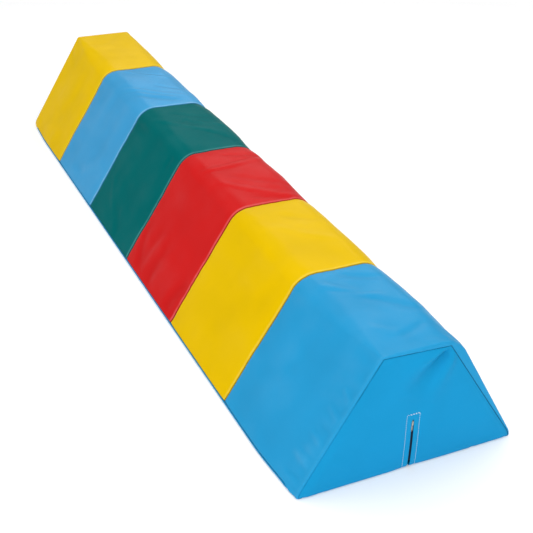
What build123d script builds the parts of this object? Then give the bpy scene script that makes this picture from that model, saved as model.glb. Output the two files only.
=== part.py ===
from build123d import *
import math
import os

os.makedirs("parts", exist_ok=True)

# ---------------------------------------------------------------- driving dimensions (mm)
# The origin is the centre of the base on the floor, +Y runs along the beam, the zip is in
# the end panel at -Y, and +Z is up. "Inset" and "depth" are measured inwards from the
# cover's outer face.
length = 1500.0
base_half_width = 198.0
flank_run_per_rise = 0.6116
end_height = 215.0
body_height = 212.0
end_corner_radius = 8.0
body_corner_radius = 45.0
band_count = 6
band_colours = ["blue", "yellow", "red", "green", "blue", "yellow"]

cover_thickness = 0.8
hem_depth = 2 * cover_thickness
hem_width = 10.0
seam_gap = 0.6
thread_size = 0.5
band_thread_inset = 0.9
end_thread_inset = 1.05
end_thread_y_inset = 0.1
base_thread_inset = 0.2
core_clearance = 0.2
core_inset = hem_depth + core_clearance
end_panel_inset = hem_depth + core_clearance
base_lip_height = 5.0
band_bottom = base_lip_height + seam_gap
fold_radius = 10.0

slit_half_width = 2.3
slit_top = 87.5
slit_end_y = 600.0
slit_hem_outer = 12.5
stitch_x = 11.0
stitch_top = 99.0
stitch_end_y = 612.0
stitch_width = 0.6
stitch_out, stitch_in = 0.05, 0.45
stitch_clearance = 0.1

tape_top = 104.0
tape_end_y = 618.0
tape_inner_x = 2.9
tape_step_x = 6.0
tape_rise_x = 9.5
tape_outer_x = 16.0
tape_thickness = 0.55
tape_sewn_depth = 1.75
tape_chain_depth = 3.7

coil_inner_x = 0.9
coil_outer_x = 2.9
coil_out, coil_in = 3.2, 5.2
coil_corner = 0.5
coil_top = 87.0

slider_bottom, slider_top = 76.0, 86.5
slider_half_width_top = 5.0
slider_half_width_bottom = 4.4
slider_corner = 1.6
front_out, front_in = 1.9, 3.0
back_out, back_in = 5.5, 6.6
flange_inner_x = 4.0
flange_gap = 0.35
divider_half_width = 0.6
divider_bottom = 82.0
divider_corner = 0.3

pull_axis_z = 81.0
pull_axis_depth = 0.9
pull_thickness = 1.0
pull_half_width = 1.8
pull_corner = 1.6
pull_length = 15.0
pull_eye_half_width = 1.1
pull_eye_length = 4.8
pull_tip_hole = 0.7
pull_tip_hole_from_end = 2.0
crown_half_width = 0.8
crown_half_span = 3.9
crown_leg = 0.8
crown_out, crown_under = -0.6, 0.1

stop_length = 2.0
stop_clearance = 0.3
stop_inner_x, stop_outer_x = 0.7, 2.85
stop_out, stop_in = 3.0, 5.4
core_channels = ((17.0, 4.9), (6.8, 7.4))
core_channel_top = 106.0
core_channel_end_y = 620.0

half_length = length / 2
band_length = length / band_count
taper_start = half_length - band_length
flank_sine = 1 / math.hypot(1, flank_run_per_rise)
lip_end = half_length - fold_radius


# ---------------------------------------------------------------- shared geometry
def body_share(y):
    """0 at an end of the beam, 1 from the first seam inwards."""
    return min(1.0, (half_length - abs(y)) / band_length)


def half_width(z, inset):
    return base_half_width - flank_run_per_rise * z - inset / flank_sine


def cross_section(y, inset, bottom):
    """Outline of the beam across its length at y, moved inwards by inset."""
    share = body_share(y)
    top = end_height + share * (body_height - end_height) - inset
    radius = end_corner_radius + share * (body_corner_radius - end_corner_radius) - inset
    with BuildSketch(Plane.XZ.offset(-y)) as section:
        with BuildLine():
            Polyline(
                (-half_width(bottom, inset), bottom),
                (-half_width(top, inset), top),
                (half_width(top, inset), top),
                (half_width(bottom, inset), bottom),
                close=True,
            )
        make_face()
        fillet(section.vertices().group_by(Axis.Y)[-1], radius)
    return section.sketch


def beam_form(stations, inset, bottom):
    """Solid through the cross sections at the given stations."""
    with BuildPart() as form:
        for start, end in zip(stations, stations[1:]):
            loft([cross_section(start, inset, bottom), cross_section(end, inset, bottom)], ruled=True)
    return form.part


def end_to_base_path(depth, top, end_y):
    """Line down the near end, round the fold and along the base, at one depth."""
    radius = fold_radius - depth
    with BuildLine(Plane.YZ) as path:
        Line((-half_length + depth, top), (-half_length + depth, fold_radius))
        RadiusArc(
            (-half_length + depth, fold_radius),
            (-half_length + fold_radius, depth),
            -radius,
        )
        Line((-half_length + fold_radius, depth), (end_y, depth))
    return path.line


def bent_layer(out, inner, top, end_y, half_x, centre_x=0.0):
    """Flat layer that lies between two depths down the near end and along the base."""
    out_corner, in_corner = fold_radius - out, fold_radius - inner
    near_out, near_in = -half_length + out, -half_length + inner
    bend_y = -half_length + fold_radius
    with BuildPart() as layer:
        with BuildSketch(Plane.YZ.offset(centre_x)):
            with BuildLine():
                Line((near_out, top), (near_out, fold_radius))
                RadiusArc((near_out, fold_radius), (bend_y, out), -out_corner)
                Line((bend_y, out), (end_y, out))
                Line((end_y, out), (end_y, inner))
                Line((end_y, inner), (bend_y, inner))
                RadiusArc((bend_y, inner), (near_in, fold_radius), in_corner)
                Line((near_in, fold_radius), (near_in, top))
                Line((near_in, top), (near_out, top))
            make_face()
        extrude(amount=half_x, both=True)
    return layer.part


# ---------------------------------------------------------------- foam core
with BuildPart() as foam_core:
    core_end = half_length - core_inset
    add(beam_form([-core_end, -taper_start, taper_start, core_end], core_inset, core_inset))
    bottom_edges = foam_core.edges().filter_by(Axis.X).group_by(Axis.Z)[0]
    fillet(bottom_edges.filter_by(lambda edge: abs(edge.center().Y) > taper_start), fold_radius - core_inset)
    for channel_half_width, channel_depth in core_channels:
        add(
            bent_layer(0, channel_depth, core_channel_top, core_channel_end_y, channel_half_width),
            mode=Mode.SUBTRACT,
        )
foam_core.part.label = "foam_core"
export_step(foam_core.part, "parts/foam_core.step")

# ---------------------------------------------------------------- cover bands
for index, colour in enumerate(band_colours):
    start = -half_length + index * band_length + seam_gap / 2
    end = start + band_length - seam_gap
    outer_start, outer_end = start, end
    if index == 0:
        outer_start = -half_length
        start = -half_length + cover_thickness + core_clearance
    if index == band_count - 1:
        outer_end = half_length
        end = half_length - cover_thickness - core_clearance
    with BuildPart() as band:
        add(beam_form([outer_start, outer_end], 0, band_bottom))
        add(beam_form([outer_start, outer_end], hem_depth, 0), mode=Mode.SUBTRACT)
        add(beam_form([start + hem_width, end - hem_width], cover_thickness, 0), mode=Mode.SUBTRACT)
        if outer_start != start:
            add(beam_form([outer_start, start], cover_thickness, 0), mode=Mode.SUBTRACT)
        if outer_end != end:
            add(beam_form([end, outer_end], cover_thickness, 0), mode=Mode.SUBTRACT)
    name = f"band_{index + 1}_{colour}"
    band.part.label = name
    export_step(band.part, f"parts/{name}.step")

# ---------------------------------------------------------------- blue strip: both ends and base
with BuildPart() as panel_strip:
    for layer_inset, layer_mode in ((0, Mode.ADD), (cover_thickness, Mode.SUBTRACT)):
        with BuildSketch(Plane.YZ) as strip_side:
            with Locations((0, layer_inset)):
                Rectangle(
                    length - 2 * layer_inset,
                    end_height,
                    align=(Align.CENTER, Align.MIN),
                )
            fillet(strip_side.vertices().group_by(Axis.Y)[0], fold_radius - layer_inset)
        extrude(amount=base_half_width + layer_inset, both=True, mode=layer_mode)
    add(beam_form([-half_length, half_length], end_panel_inset, 0), mode=Mode.INTERSECT)
    for side in (-1, 1):
        with BuildSketch(Plane.XZ.offset(-lip_end)):
            with BuildLine():
                Polyline(
                    (side * half_width(0, 0), 0),
                    (side * half_width(base_lip_height, 0), base_lip_height),
                    (side * half_width(base_lip_height, cover_thickness), base_lip_height),
                    (side * half_width(cover_thickness, cover_thickness), cover_thickness),
                    (side * half_width(0, hem_width), cover_thickness),
                    (side * half_width(0, hem_width), 0),
                    close=True,
                )
            make_face()
        extrude(amount=2 * lip_end)
    for side in (-1, 1):
        hem_centre = (slit_half_width + slit_hem_outer) / 2
        add(
            bent_layer(
                cover_thickness,
                hem_depth,
                slit_top,
                slit_end_y,
                (slit_hem_outer - slit_half_width) / 2,
                side * hem_centre,
            )
        )
    add(bent_layer(0, hem_depth, slit_top, slit_end_y, slit_half_width), mode=Mode.SUBTRACT)
    groove_half_width = stitch_width / 2 + stitch_clearance
    groove_depth = stitch_in + stitch_clearance
    for side in (-1, 1):
        add(
            bent_layer(
                0,
                groove_depth,
                stitch_top + groove_half_width,
                stitch_end_y + groove_half_width,
                groove_half_width,
                side * stitch_x,
            ),
            mode=Mode.SUBTRACT,
        )
    with Locations((0, -half_length + groove_depth / 2, stitch_top)):
        Box(2 * stitch_x, groove_depth, 2 * groove_half_width, mode=Mode.SUBTRACT)
    with Locations((0, stitch_end_y, groove_depth / 2)):
        Box(2 * stitch_x, 2 * groove_half_width, groove_depth, mode=Mode.SUBTRACT)
panel_strip.part.label = "base_and_end_panels"
export_step(panel_strip.part, "parts/base_and_end_panels.step")

# ---------------------------------------------------------------- zip box stitching
with BuildPart() as zip_stitching:
    stitch_half = stitch_width / 2
    for side in (-1, 1):
        add(
            bent_layer(
                stitch_out,
                stitch_in,
                stitch_top + stitch_half,
                stitch_end_y + stitch_half,
                stitch_half,
                side * stitch_x,
            )
        )
    stitch_mid = (stitch_out + stitch_in) / 2
    with Locations((0, -half_length + stitch_mid, stitch_top)):
        Box(2 * stitch_x, stitch_in - stitch_out, stitch_width)
    with Locations((0, stitch_end_y, stitch_mid)):
        Box(2 * stitch_x, stitch_width, stitch_in - stitch_out)
zip_stitching.part.label = "zip_stitching"
export_step(zip_stitching.part, "parts/zip_stitching.step")

# ---------------------------------------------------------------- zip tapes and coils
for side, side_name in ((-1, "left"), (1, "right")):
    with BuildPart() as zip_tape:
        with BuildLine(Plane.YZ):
            add(end_to_base_path(0, tape_top, tape_end_y))
        with BuildSketch(Plane((0, -half_length, tape_top), x_dir=(1, 0, 0), z_dir=(0, 0, -1))):
            with BuildLine():
                Polyline(
                    (side * tape_inner_x, -tape_chain_depth),
                    (side * tape_step_x, -tape_chain_depth),
                    (side * tape_rise_x, -tape_sewn_depth),
                    (side * tape_outer_x, -tape_sewn_depth),
                    (side * tape_outer_x, -tape_sewn_depth - tape_thickness),
                    (side * tape_rise_x, -tape_sewn_depth - tape_thickness),
                    (side * tape_step_x, -tape_chain_depth - tape_thickness),
                    (side * tape_inner_x, -tape_chain_depth - tape_thickness),
                    close=True,
                )
            make_face()
        sweep()
    zip_tape.part.label = f"zip_tape_{side_name}"
    export_step(zip_tape.part, f"parts/zip_tape_{side_name}.step")

    with BuildPart() as zip_coil:
        coil_width = coil_outer_x - coil_inner_x
        coil_centre = (coil_outer_x + coil_inner_x) / 2
        with BuildLine(Plane.YZ):
            add(end_to_base_path(0, coil_top, slit_end_y))
        with BuildSketch(Plane((0, -half_length, coil_top), x_dir=(1, 0, 0), z_dir=(0, 0, -1))):
            with Locations((side * coil_centre, -(coil_out + coil_in) / 2)):
                RectangleRounded(coil_width, coil_in - coil_out, coil_corner)
        sweep()
    zip_coil.part.label = f"zip_coil_{side_name}"
    export_step(zip_coil.part, f"parts/zip_coil_{side_name}.step")

# ---------------------------------------------------------------- zip stops
with BuildPart() as zip_top_stops:
    for side in (-1, 1):
        with Locations(
            (
                side * (stop_inner_x + stop_outer_x) / 2,
                -half_length + (stop_out + stop_in) / 2,
                coil_top + stop_clearance + stop_length / 2,
            )
        ):
            Box(stop_outer_x - stop_inner_x, stop_in - stop_out, stop_length)
    chamfer(zip_top_stops.edges().filter_by(Axis.Z), stop_clearance)
zip_top_stops.part.label = "zip_top_stops"
export_step(zip_top_stops.part, "parts/zip_top_stops.step")

with BuildPart() as zip_bottom_stop:
    stop_centre_y = slit_end_y + stop_clearance + stop_length / 2
    with Locations((0, stop_centre_y, (stop_out + stop_in) / 2)):
        Box(2 * stop_outer_x, stop_length, stop_in - stop_out)
    chamfer(zip_bottom_stop.edges().filter_by(Axis.Y), stop_clearance)
zip_bottom_stop.part.label = "zip_bottom_stop"
export_step(zip_bottom_stop.part, "parts/zip_bottom_stop.step")

# ---------------------------------------------------------------- zip slider
# Layers from the front plate to the back plate. The flanges between the plates leave a gap
# for the tape on each side.
slider_layers = [
    (front_out, front_in, False),
    (front_in, tape_chain_depth - flange_gap, True),
    (tape_chain_depth + tape_thickness + flange_gap, back_out, True),
    (back_out, back_in, False),
]
with BuildPart() as zip_slider:
    for out, inner, is_flange in slider_layers:
        with BuildSketch(Plane.XZ.offset(half_length - out)) as plate:
            with BuildLine():
                Polyline(
                    (-slider_half_width_bottom, slider_bottom),
                    (slider_half_width_bottom, slider_bottom),
                    (slider_half_width_top, slider_top),
                    (-slider_half_width_top, slider_top),
                    close=True,
                )
            make_face()
            fillet(plate.vertices(), slider_corner)
            if is_flange:
                with Locations((0, (slider_bottom + slider_top) / 2)):
                    Rectangle(2 * flange_inner_x, slider_top - slider_bottom, mode=Mode.SUBTRACT)
        extrude(amount=-(inner - out))
    with BuildSketch(Plane.XZ.offset(half_length - front_in)) as divider:
        with Locations((0, (divider_bottom + slider_top) / 2)):
            Rectangle(2 * divider_half_width, slider_top - divider_bottom)
        fillet(divider.vertices(), divider_corner)
    extrude(amount=-(back_out - front_in))
    with BuildSketch(Plane.YZ) as crown:
        with Locations((-half_length + (crown_out + front_out) / 2, pull_axis_z)):
            Rectangle(front_out - crown_out, 2 * crown_half_span)
        fillet(crown.vertices().group_by(Axis.X)[0], crown_leg)
        with Locations((-half_length + (crown_under + front_out) / 2, pull_axis_z)):
            Rectangle(
                front_out - crown_under,
                2 * (crown_half_span - crown_leg),
                mode=Mode.SUBTRACT,
            )
    extrude(amount=crown_half_width, both=True)
zip_slider.part.label = "zip_slider"
export_step(zip_slider.part, "parts/zip_slider.step")

# ---------------------------------------------------------------- zip pull
with BuildPart() as zip_pull:
    pull_front = pull_axis_depth - pull_thickness / 2
    pull_tip_z = pull_axis_z - pull_length
    with BuildSketch(Plane.XZ.offset(half_length - pull_front)) as tab:
        with Locations((0, (pull_axis_z + pull_tip_z) / 2)):
            Rectangle(2 * pull_half_width, pull_length)
        fillet(tab.vertices().group_by(Axis.Y)[0], pull_corner)
        with Locations((0, pull_axis_z - pull_eye_length / 2)):
            Rectangle(2 * pull_eye_half_width, pull_eye_length, mode=Mode.SUBTRACT)
        with Locations((0, pull_tip_z + pull_tip_hole_from_end)):
            Circle(pull_tip_hole, mode=Mode.SUBTRACT)
    extrude(amount=-pull_thickness)
    with BuildSketch(Plane.YZ.offset(-pull_half_width)):
        with Locations((-half_length + pull_axis_depth, pull_axis_z)):
            Circle(pull_thickness / 2)
    extrude(amount=2 * pull_half_width)
zip_pull.part.label = "zip_pull"
export_step(zip_pull.part, "parts/zip_pull.step")

# ---------------------------------------------------------------- seam threads
with BuildPart() as band_seam_threads:
    for index in range(1, band_count):
        seam_y = -half_length + index * band_length
        stations = [seam_y - thread_size / 2, seam_y + thread_size / 2]
        add(beam_form(stations, band_thread_inset, band_bottom + thread_size))
        add(beam_form(stations, band_thread_inset + thread_size, 0), mode=Mode.SUBTRACT)
band_seam_threads.part.label = "band_seam_threads"
export_step(band_seam_threads.part, "parts/band_seam_threads.step")

with BuildPart() as end_seam_threads:
    for side in (-1, 1):
        outer_y = side * (half_length - end_thread_y_inset)
        inner_y = outer_y - side * thread_size
        stations = sorted((outer_y, inner_y))
        add(beam_form(stations, end_thread_inset, fold_radius + thread_size))
        add(beam_form(stations, end_thread_inset + thread_size, 0), mode=Mode.SUBTRACT)
end_seam_threads.part.label = "end_seam_threads"
export_step(end_seam_threads.part, "parts/end_seam_threads.step")

with BuildPart() as base_seam_threads:
    thread_z = (base_lip_height + band_bottom) / 2
    thread_x = half_width(thread_z, base_thread_inset) - thread_size / 2
    with BuildSketch(Plane.XZ.offset(-lip_end)):
        with Locations((-thread_x, thread_z), (thread_x, thread_z)):
            Rectangle(thread_size, thread_size)
    extrude(amount=2 * lip_end)
base_seam_threads.part.label = "base_seam_threads"
export_step(base_seam_threads.part, "parts/base_seam_threads.step")
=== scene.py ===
import math

import bpy
import numpy as np
from mathutils import Matrix, Vector


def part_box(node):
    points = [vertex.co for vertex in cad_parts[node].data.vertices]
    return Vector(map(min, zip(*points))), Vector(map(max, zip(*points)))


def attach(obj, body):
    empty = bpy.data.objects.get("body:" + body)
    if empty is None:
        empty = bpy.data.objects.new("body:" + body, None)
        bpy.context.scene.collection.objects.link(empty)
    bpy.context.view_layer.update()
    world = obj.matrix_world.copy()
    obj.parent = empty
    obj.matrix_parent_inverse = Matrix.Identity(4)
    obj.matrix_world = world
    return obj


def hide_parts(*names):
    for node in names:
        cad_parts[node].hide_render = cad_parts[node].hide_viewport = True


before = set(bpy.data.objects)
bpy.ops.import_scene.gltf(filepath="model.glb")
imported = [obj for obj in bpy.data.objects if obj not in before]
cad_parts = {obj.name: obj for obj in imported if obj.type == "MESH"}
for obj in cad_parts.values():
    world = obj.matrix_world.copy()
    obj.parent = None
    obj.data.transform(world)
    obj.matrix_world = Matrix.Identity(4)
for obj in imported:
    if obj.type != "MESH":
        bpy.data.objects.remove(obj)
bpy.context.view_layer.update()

# Shapes are worked out in millimetres, in the CAD frame, and scaled once, in add_mesh.
MM = 0.001


def cad_box(node):
    """Lowest and highest corner of a CAD node, in millimetres."""
    low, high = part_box(node)
    return np.array(low) / MM, np.array(high) / MM


# ---- dimensions read from the frame
BAND_NODES = sorted(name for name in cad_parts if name[:5] == "band_" and name[5].isdigit())
BAND_BOXES = [cad_box(name) for name in BAND_NODES]
SEAMS = [(a[1][1] + b[0][1]) / 2 for a, b in zip(BAND_BOXES, BAND_BOXES[1:])]
PANEL_LOW, PANEL_HIGH = cad_box("base_and_end_panels")
NEAR, FAR = PANEL_LOW[1], PANEL_HIGH[1]
EDGES = [NEAR, *SEAMS, FAR]
BAND_LENGTH = SEAMS[1] - SEAMS[0]
END_HEIGHT = BAND_BOXES[0][1][2]
STITCH_HIGH = cad_box("zip_stitching")[1]
COIL_HIGH = cad_box("zip_coil_right")[1]

# ---- form of the beam
SEAM_HEIGHT = 209.6
CROWN = 3.4
SEAM_HALF_BASE = 197.4
TOP_HALF = 67.0
END_TOP_HALF = 64.0
CORNER_RADIUS = 45.0
END_CORNER_RADIUS = 7.0
NEAR_RIGHT_CORNER_RADIUS = 54.0
END_SHARP_REACH = 170.0
NEAR_BASE_HALF = 191.0
FAR_BASE_HALF = 193.0
END_NARROW_REACH = 130.0
LIP_TOP = 3.6
BAND_BOTTOM = 4.2
END_FOOT = 0.6
LIP_REACH = (12.0, 38.0)

SKIN = 0.7
SEAM_ROLL = 2.2
SEAM_GAP = 0.3
SEAM_FLAP = 5.0
SHORT_FLAP = 4.0
BASE_SEAM_ROLL = 1.6
END_ROLL = 4.0
END_SEAM_ROLL = 1.5
FOLD = 10.0

FLANK_STEPS, CORNER_STEPS, TOP_STEPS = 64, 14, 38

# The seam round each end: half base, top half-width and height, left then right.
NEAR_SEAM = {"base": (187.4, 188.0), "top": (61.0, 50.8), "height": (211.6, 205.8), "radius": (1.2, 1.2)}
FAR_SEAM = {"base": (189.0, 189.0), "top": (60.5, 60.5), "height": (210.0, 210.0), "radius": (1.2, 1.2)}
FOOT_TUCK = 4.5
FOOT_TUCK_HEIGHT = 15.0


def smooth_step(value):
    t = np.clip(value, 0.0, 1.0)
    return t * t * (3 - 2 * t)


def bell(distance, width):
    """One at no distance, and nearly nought two widths away."""
    return np.exp(-((distance / width) ** 2))


def seam_distance(y):
    """Distance from y to the nearest seam between bands."""
    return min(abs(y - seam) for seam in SEAMS)


def end_distance_at(y):
    return min(y - NEAR, FAR - y)


def lip_share(y):
    """Nought where the bands come down to the floor at the ends, one beyond the lip's reach."""
    low, high = LIP_REACH
    return float(smooth_step((end_distance_at(y) - low) / (high - low)))


def at_y(points, y):
    """Points of a cross section, (x, z), at a place along the beam."""
    return np.column_stack([points[:, 0], np.full(len(points), y), points[:, 1]])


def form_at(y):
    """Numbers of the cover's cross section at y, before its puckers and folds."""
    end_distance = end_distance_at(y)
    sharp = smooth_step(1 - end_distance / END_SHARP_REACH)
    narrow = smooth_step(1 - end_distance / END_NARROW_REACH)
    end_half = NEAR_BASE_HALF if y < 0 else FAR_BASE_HALF
    if end_distance < BAND_LENGTH:
        rise = (END_HEIGHT - SEAM_HEIGHT) * (1 - end_distance / BAND_LENGTH) ** 0.7
        crown = CROWN * 0.5 * math.sin(math.pi * end_distance / BAND_LENGTH)
    else:
        rise = 0.0
        crown = CROWN * math.sin(math.pi * min(1.0, seam_distance(y) / BAND_LENGTH))
    base = SEAM_HALF_BASE + (end_half - SEAM_HALF_BASE) * narrow
    top = TOP_HALF + (END_TOP_HALF - TOP_HALF) * sharp
    right_radius = NEAR_RIGHT_CORNER_RADIUS if y < 0 else END_CORNER_RADIUS
    radii = tuple(CORNER_RADIUS + (r - CORNER_RADIUS) * sharp for r in (END_CORNER_RADIUS, right_radius))
    height = SEAM_HEIGHT + rise + crown
    return {"base": (base, base), "top": (top, top), "height": (height, height), "radius": radii}


def foot_tuck(height):
    """How far the corners at the foot of an end are pulled in at a height above the floor."""
    return FOOT_TUCK * np.clip(1 - height / FOOT_TUCK_HEIGHT, 0, 1) ** 2


# ---- edge of a skin at a seam
def rolled_edge(roll, flap, steps):
    """(distance from the seam, depth) of points round a skin's turned-in edge, flap first."""
    points = [(0.0, roll + flap), (0.0, roll + flap / 2)]
    for k in range(steps + 1):
        turn = math.pi / 2 * k / steps
        points.append((roll * (1 - math.cos(turn)), roll * (1 - math.sin(turn))))
    return points


SEAM_EDGE = rolled_edge(SEAM_ROLL, SEAM_FLAP, 4)
BASE_EDGE = rolled_edge(BASE_SEAM_ROLL, SHORT_FLAP, 3)
END_EDGE = rolled_edge(END_SEAM_ROLL, SHORT_FLAP, 3)
BETWEEN_FEET = slice(len(BASE_EDGE), -len(BASE_EDGE))


def half_section(form, side, bottom):
    """Points, outward normals and girth of one half of a cross section, from its foot to the top."""
    base, top, height = (form[key][side] for key in ("base", "top", "height"))
    radius = form["radius"][side]
    run = math.hypot(base - top, height)
    slope = np.array([(top - base) / run, height / run])
    normal = np.array([slope[1], -slope[0]])
    lean = math.atan2(normal[1], normal[0])
    tangent = radius * math.tan((math.pi / 2 - lean) / 2)
    corner = np.array([top, height])
    foot = corner - slope * (height - bottom) / slope[1]
    flank_end = corner - slope * tangent
    length = np.linalg.norm(flank_end - foot)
    along = [distance for distance, _ in BASE_EDGE]
    along += list(np.linspace(BASE_EDGE[-1][0], length, FLANK_STEPS + 1)[1:])
    depth = [d for _, d in BASE_EDGE] + [0.0] * FLANK_STEPS
    points = [foot + slope * a for a in along]
    normals = [normal] * len(along)
    inward = [np.array([1.0, 0.0])] * len(BASE_EDGE) + [normal] * FLANK_STEPS
    points = [p - n * d for p, n, d in zip(points, inward, depth)]
    girth = [top + (height - bottom) / slope[1] - a for a in along]
    centre = flank_end - normal * radius
    for k in range(1, CORNER_STEPS + 1):
        angle = lean + (math.pi / 2 - lean) * k / CORNER_STEPS
        direction = np.array([math.cos(angle), math.sin(angle)])
        points.append(centre + direction * radius)
        normals.append(direction)
        girth.append(top + tangent - 2 * tangent * k / CORNER_STEPS)
    return np.array(points), np.array(normals), np.array(girth)


def section(form, bottom):
    """One row of the cover, from the left foot over the top to the right foot."""
    left = half_section(form, 0, bottom)
    right = half_section(form, 1, bottom)
    flip = np.array([-1.0, 1.0])
    start, end = left[0][-1] * flip, right[0][-1]
    steps = np.linspace(0, 1, TOP_STEPS + 1)[1:-1, None]
    top_points = start + (end - start) * steps
    top_normals = np.repeat([[0.0, 1.0]], len(steps), axis=0)
    points = np.concatenate([left[0] * flip, top_points, right[0][::-1]])
    normals = np.concatenate([left[1] * flip, top_normals, right[1][::-1]])
    girth = np.concatenate([-left[2], top_points[:, 0], right[2][::-1]])
    return points, normals, girth


def foot_height(y):
    """Height of the seam between the bands and the base: it comes down to the floor at the ends."""
    return END_FOOT + (BAND_BOTTOM - END_FOOT) * lip_share(y)


# ---- folds and puckers of the cloth
# Each fold: (girth, y) at its two ends, height and half-width. Girth is measured over the
# cover from the middle of the top, and a negative height is a crease.
FOLDS = [
    ((-57, 346), (34, 283), 1.4, 6),
    ((-57, 326), (44, 262), -1.3, 7),
    ((-78, 392), (62, 280), 1.4, 7),
    ((-20, 470), (56, 415), -1.2, 8),
    ((-35, 492), (58, 400), 1.1, 7),
    ((0, 372), (66, 318), -1.0, 7),
    ((-74, 200), (58, 62), 1.2, 9),
    ((-34, 210), (50, 150), -0.9, 8),
    ((-11, 168), (62, 103), 0.9, 7),
    ((6, 92), (64, 24), -1.0, 8),
    ((20, 150), (66, 84), -0.8, 7),
    ((-73, -86), (75, -70), 1.6, 8),
    ((-10, -30), (75, -56), -1.4, 9),
    ((-60, -140), (66, -246), 1.5, 9),
    ((-30, -120), (70, -200), -1.0, 10),
    ((-25, -216), (50, -247), -0.9, 6),
    ((-15, -515), (56, -556), -1.2, 9),
    ((-57, -528), (30, -612), 1.3, 10),
    ((-53, -552), (18, -592), -1.0, 7),
    ((-10, -590), (60, -660), -1.1, 11),
    ((-43, -668), (-5, -706), 0.9, 9),
    ((-14, -712), (44, -690), -1.0, 8),
    ((-10, -300), (58, -350), -0.8, 10),
    ((-40, -330), (50, -420), 0.9, 11),
    ((-40, 646), (40, 700), 0.5, 14),
    ((-215, -16), (-306, -60), -1.4, 14),
    ((-200, -100), (-300, -76), 1.3, 12),
    ((-220, -124), (-308, -114), -1.4, 14),
    ((-230, -240), (-308, -206), -1.8, 16),
    ((-208, 222), (-282, 128), 0.5, 9),
    ((-255, 128), (-300, 80), -0.6, 12),
    ((-222, 282), (-285, 368), 0.9, 13),
    ((-275, 352), (-290, 460), -1.0, 14),
    ((-235, 536), (-298, 608), 1.0, 13),
    ((-205, -742), (-276, -716), 0.9, 12),
    ((-230, -536), (-170, -612), -0.7, 12),
    ((-151, -750), (-138, -716), 1.3, 4.5),
    ((-182, -750), (-174, -708), 1.2, 5),
    ((-200, -750), (-206, -716), -1.2, 5),
    ((-228, -750), (-222, -702), 1.3, 5),
    ((-247, -750), (-254, -708), -1.2, 5),
    ((-265, -750), (-262, -694), 1.3, 5.5),
    ((-286, -748), (-294, -702), -1.2, 5),
    ((-100, 240), (-96, 172), -0.8, 9),
    ((-92, 34), (-120, 42), -0.8, 8),
    ((170, -160), (300, -90), 1.0, 16),
    ((140, 120), (290, 190), -1.0, 15),
    ((160, 420), (300, 330), 1.1, 16),
    ((200, -420), (305, -340), -1.1, 15),
    ((150, 560), (290, 640), 1.0, 15),
    ((190, -620), (300, -700), 1.0, 14),
]
FOLD_GAIN = 1.6
FOLD_BOW = 0.05
FOLD_MOAT, FOLD_MOAT_WIDTH = 0.35, 2.3
RIPPLE_SEED = 11
RIPPLES = 26
RIPPLE_LENGTHS = (35, 150)
RIPPLE_STEEPNESS = 0.0022
SEAM_PUCKER_HEIGHT, SEAM_PUCKER_REACH = 0.22, 9.0
END_PUCKER_HEIGHT, END_PUCKER_REACH = 1.5, 24.0


def ripple_terms():
    """Long low waves of a taut coated cloth over foam: wave numbers, phase and height."""
    rng = np.random.default_rng(RIPPLE_SEED)
    terms = []
    for _ in range(RIPPLES):
        length = rng.uniform(*RIPPLE_LENGTHS)
        heading = rng.uniform(0, math.pi)
        wave = 2 * math.pi / length
        height = RIPPLE_STEEPNESS * length * rng.uniform(0.4, 1.0)
        terms.append((wave * math.cos(heading), wave * math.sin(heading), rng.uniform(0, 6.28), height))
    return terms


RIPPLE_TERMS = ripple_terms()


def along_fold(start, end, first, second):
    """Share of the way along a fold, distance to its side, and its length, for two coordinates."""
    run = np.array([end[0] - start[0], end[1] - start[1]], float)
    length = np.linalg.norm(run)
    run /= length
    along = ((first - start[0]) * run[0] + (second - start[1]) * run[1]) / length
    return along, (first - start[0]) * -run[1] + (second - start[1]) * run[0], length


def cloth_relief(girth, y):
    """Height of the cloth above its smooth form, for arrays of girth and y."""
    relief = np.zeros_like(girth)
    for wave_g, wave_y, phase, height in RIPPLE_TERMS:
        relief += height * np.sin(wave_g * girth + wave_y * y + phase)
    for start, end, height, width in FOLDS:
        along, across, length = along_fold(start, end, girth, y)
        across = across + FOLD_BOW * length * np.sin(np.pi * np.clip(along, 0, 1))
        fade = np.clip(1 - np.abs(2 * along - 1) ** 4, 0, None) * (np.abs(2 * along - 1) < 1)
        profile = bell(across, width) - FOLD_MOAT * bell(across, FOLD_MOAT_WIDTH * width)
        relief += FOLD_GAIN * height * fade * profile
    return relief


def seam_pucker(girth, distance, seed):
    """Small gathers that run from a seam into the cloth."""
    wave = np.sin(girth / 3.1 + 1.7 * np.sin(girth / 17.0 + seed)) * (0.6 + 0.4 * np.sin(girth / 41 + seed))
    return SEAM_PUCKER_HEIGHT * wave * np.exp(-distance / SEAM_PUCKER_REACH)


def end_pucker(girth, distance, seed):
    """Uneven folds that run into the cloth from the seam round an end panel."""
    run = girth + 0.35 * distance
    wave = np.sin(run / 6.5 + 2.1 * np.sin(run / 31.0 + seed))
    wave = wave * (0.55 + 0.45 * np.sin(run / 47.0 + 1.3 * seed))
    fade = math.exp(-distance / END_PUCKER_REACH)
    return END_PUCKER_HEIGHT * wave * fade * float(smooth_step((distance - 1.0) / 9.0))


# ---- mesh helpers
def add_object(name, data):
    thing = bpy.data.objects.new(name, data)
    bpy.context.scene.collection.objects.link(thing)
    return thing


def add_mesh(name, points, faces, material, body="cover"):
    """Mesh object from millimetre points, smooth shaded, riding on a body."""
    mesh = bpy.data.meshes.new(name)
    mesh.from_pydata((np.asarray(points) * MM).tolist(), [], [list(face) for face in faces])
    mesh.validate()
    mesh.polygons.foreach_set("use_smooth", [True] * len(mesh.polygons))
    mesh.materials.append(material)
    mesh.update()
    piece = add_object(name, mesh)
    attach(piece, body)
    return piece


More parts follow.
